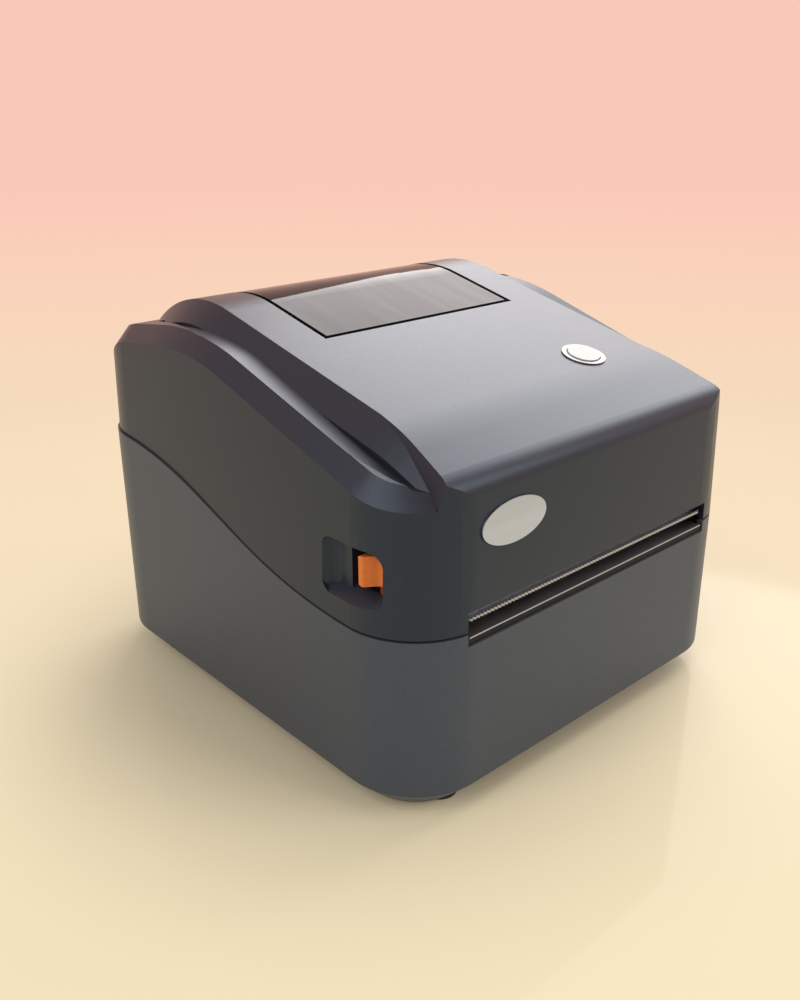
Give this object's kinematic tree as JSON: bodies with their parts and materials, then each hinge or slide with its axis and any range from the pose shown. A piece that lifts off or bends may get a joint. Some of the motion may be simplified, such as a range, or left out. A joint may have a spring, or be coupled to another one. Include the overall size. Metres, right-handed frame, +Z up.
{
  "type": "thermal label printer",
  "caption": "Desktop thermal label printer with a hinged lid, smoked window, front paper slot with tear bar, pull latches, geared platen roller and sliding roll guides.",
  "frame": {"origin": "centre of the bounding box, at the underside of the feet", "axes": "+X to the viewer's right, front faces -Y, +Z up"},
  "size_m": [0.178, 0.192, 0.1505],
  "materials": {
    "case_plastic": "fine texture",
    "lid_plastic": "satin",
    "frame_plastic": "matte",
    "smoked_window": "gloss",
    "badge_metal": "satin",
    "button_white": "satin",
    "ring_grey": "satin",
    "latch_orange": "satin",
    "steel": "brushed",
    "screw_steel": "zinc",
    "spring_steel": "bright",
    "platen_rubber": "matte",
    "foot_rubber": "matte",
    "gear_plastic": "satin",
    "brass": "machined",
    "bush_plastic": "satin",
    "head_aluminium": "extruded",
    "head_ceramic": "glazed",
    "board_green": "satin",
    "socket_black": "matte",
    "socket_shell": "bright"
  },
  "bodies": {
    "base": {"base_shell": "case_plastic", "bottom_cover": "case_plastic", "cover_screws": "screw_steel", "rubber_feet": "foot_rubber", "inner_frame": "frame_plastic", "frame_screws": "screw_steel", "idler_pin": "steel", "motor_body": "steel", "platen_bushes": "bush_plastic", "exit_lip": "frame_plastic", "lip_blade": "steel", "gap_sensor": "socket_black", "main_board": "board_green", "board_screws": "screw_steel", "usb_port": "socket_shell", "dc_jack": "socket_black", "power_switch": "socket_black", "guide_post": "steel", "hinge_pins": "steel", "keeper_pins": "steel"},
    "platen": {"platen_shaft": "steel", "platen_rubber": "platen_rubber", "platen_gear": "gear_plastic"},
    "idler": {"idler_gear": "gear_plastic"},
    "motor_rotor": {"motor_shaft": "steel", "motor_pinion": "brass"},
    "rocker": {"power_rocker": "socket_black"},
    "guide_left": {"left_guide": "frame_plastic"},
    "guide_right": {"right_guide": "frame_plastic"},
    "guide_gear": {"guide_pinion": "gear_plastic"},
    "lid": {"top_cover": "lid_plastic", "window": "smoked_window", "badge": "badge_metal", "button_ring": "ring_grey", "button_board": "board_green", "tear_bar": "steel", "latch_pins": "steel", "head_bracket": "steel", "bracket_screws": "screw_steel", "head_springs": "spring_steel"},
    "head": {"heat_sink": "head_aluminium", "print_head": "head_ceramic", "head_guides": "steel"},
    "button": {"feed_button": "button_white"},
    "latch_right": {"right_latch": "latch_orange"},
    "latch_left": {"left_latch": "latch_orange"}
  },
  "joints": [
    {"name": "lid_hinge", "type": "hinge", "parent": "base", "child": "lid", "pos_m": [0, 0.092, 0.097], "axis": [-1, 0, 0], "range_deg": [0, 100]},
    {"name": "platen_spin", "type": "hinge", "parent": "base", "child": "platen", "pos_m": [0, -0.078, 0.061], "axis": [1, 0, 0], "continuous": true},
    {"name": "idler_spin", "type": "hinge", "parent": "base", "child": "idler", "pos_m": [0, -0.063, 0.04529], "axis": [1, 0, 0], "continuous": true},
    {"name": "motor_spin", "type": "hinge", "parent": "base", "child": "motor_rotor", "pos_m": [0, -0.062, 0.03], "axis": [1, 0, 0], "continuous": true},
    {"name": "power_rock", "type": "hinge", "parent": "base", "child": "rocker", "pos_m": [0.05, 0.091, 0.045], "axis": [1, 0, 0], "range_deg": [-6, 6]},
    {"name": "left_guide_slide", "type": "slide", "parent": "base", "child": "guide_left", "axis": [1, 0, 0], "range_m": [-0.016, 0.024]},
    {"name": "right_guide_slide", "type": "slide", "parent": "base", "child": "guide_right", "axis": [1, 0, 0], "range_m": [-0.024, 0.016]},
    {"name": "guide_pinion_turn", "type": "hinge", "parent": "base", "child": "guide_gear", "pos_m": [0, 0.024, 0.0155], "axis": [0, 0, 1], "range_deg": [-120, 180]},
    {"name": "feed_press", "type": "slide", "parent": "lid", "child": "button", "axis": [0, 0.2253, -0.9743], "range_m": [0, 0.001], "stiffness_N_per_m": 400, "springref_m": -0.001},
    {"name": "right_latch_pull", "type": "hinge", "parent": "lid", "child": "latch_right", "pos_m": [0.078, -0.074, 0.089], "axis": [-1, 0, 0], "range_deg": [0, 10], "stiffness_Nm_per_rad": 0.05, "springref_deg": -11.46},
    {"name": "left_latch_pull", "type": "hinge", "parent": "lid", "child": "latch_left", "pos_m": [-0.078, -0.074, 0.089], "axis": [-1, 0, 0], "range_deg": [0, 10], "stiffness_Nm_per_rad": 0.05, "springref_deg": -11.46},
    {"name": "head_float", "type": "slide", "parent": "lid", "child": "head", "axis": [0, 0, 1], "range_m": [0, 0.0015], "stiffness_N_per_m": 3000, "springref_m": -0.002, "deforming": ["head_springs"]}
  ],
  "couplings": [
    {"joint": "idler_spin", "follows": "platen_spin", "ratio": -1.0769},
    {"joint": "motor_spin", "follows": "platen_spin", "ratio": 2.3333},
    {"joint": "right_guide_slide", "follows": "left_guide_slide", "ratio": -1},
    {"joint": "guide_pinion_turn", "follows": "left_guide_slide", "rad_per_m": 125}
  ]
}
